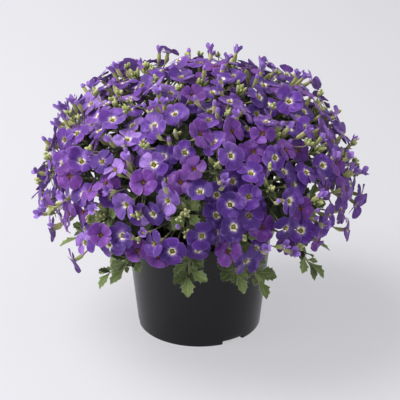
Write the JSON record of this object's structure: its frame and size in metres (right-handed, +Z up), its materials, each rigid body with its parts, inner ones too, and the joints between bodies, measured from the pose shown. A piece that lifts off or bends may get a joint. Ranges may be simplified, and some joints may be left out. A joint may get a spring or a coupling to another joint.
{
  "type": "potted aubrieta",
  "caption": "Round mound of violet four-petalled aubrieta flowers with toothed leaves, growing over the rim of a black nursery pot.",
  "frame": {"origin": "middle of the pot's foot, on the surface that the pot stands on", "axes": "+Z up; -Y towards the front that the picture shows; +X to the right of that view"},
  "size_m": [0.2655, 0.2587, 0.2178],
  "materials": {
    "pot": "satin black moulded plastic",
    "soil": "moist peat potting soil",
    "flowering_spray": "soft violet petals on hairy green stems and leaves",
    "leafy_shoot": "matt hairy green leaves"
  },
  "bodies": {
    "root": {"pot": "pot", "soil": "soil", "spray_01": "flowering_spray", "spray_02": "flowering_spray", "spray_03": "flowering_spray", "spray_04": "flowering_spray", "spray_05": "flowering_spray", "spray_06": "flowering_spray", "spray_07": "flowering_spray", "spray_08": "flowering_spray", "spray_09": "flowering_spray", "spray_10": "flowering_spray", "spray_11": "flowering_spray", "spray_12": "flowering_spray", "spray_13": "flowering_spray", "spray_14": "flowering_spray", "spray_15": "flowering_spray", "spray_16": "flowering_spray", "spray_17": "flowering_spray", "spray_18": "flowering_spray", "spray_19": "flowering_spray", "spray_20": "flowering_spray", "spray_21": "flowering_spray", "spray_22": "flowering_spray", "spray_23": "flowering_spray", "spray_24": "flowering_spray", "spray_25": "flowering_spray", "spray_26": "flowering_spray", "spray_27": "flowering_spray", "spray_28": "flowering_spray", "spray_29": "flowering_spray", "spray_30": "flowering_spray", "spray_31": "flowering_spray", "spray_32": "flowering_spray", "spray_33": "flowering_spray", "spray_34": "flowering_spray", "spray_35": "flowering_spray", "spray_36": "flowering_spray", "spray_37": "flowering_spray", "spray_38": "flowering_spray", "spray_39": "flowering_spray", "spray_40": "flowering_spray", "spray_41": "flowering_spray", "spray_42": "flowering_spray", "spray_43": "flowering_spray", "spray_44": "flowering_spray", "shoot_01": "leafy_shoot", "shoot_02": "leafy_shoot", "shoot_03": "leafy_shoot", "shoot_04": "leafy_shoot", "shoot_05": "leafy_shoot", "shoot_06": "leafy_shoot", "shoot_07": "leafy_shoot", "shoot_08": "leafy_shoot", "shoot_09": "leafy_shoot", "shoot_10": "leafy_shoot", "shoot_11": "leafy_shoot", "shoot_12": "leafy_shoot"}
  },
  "joints": []
}
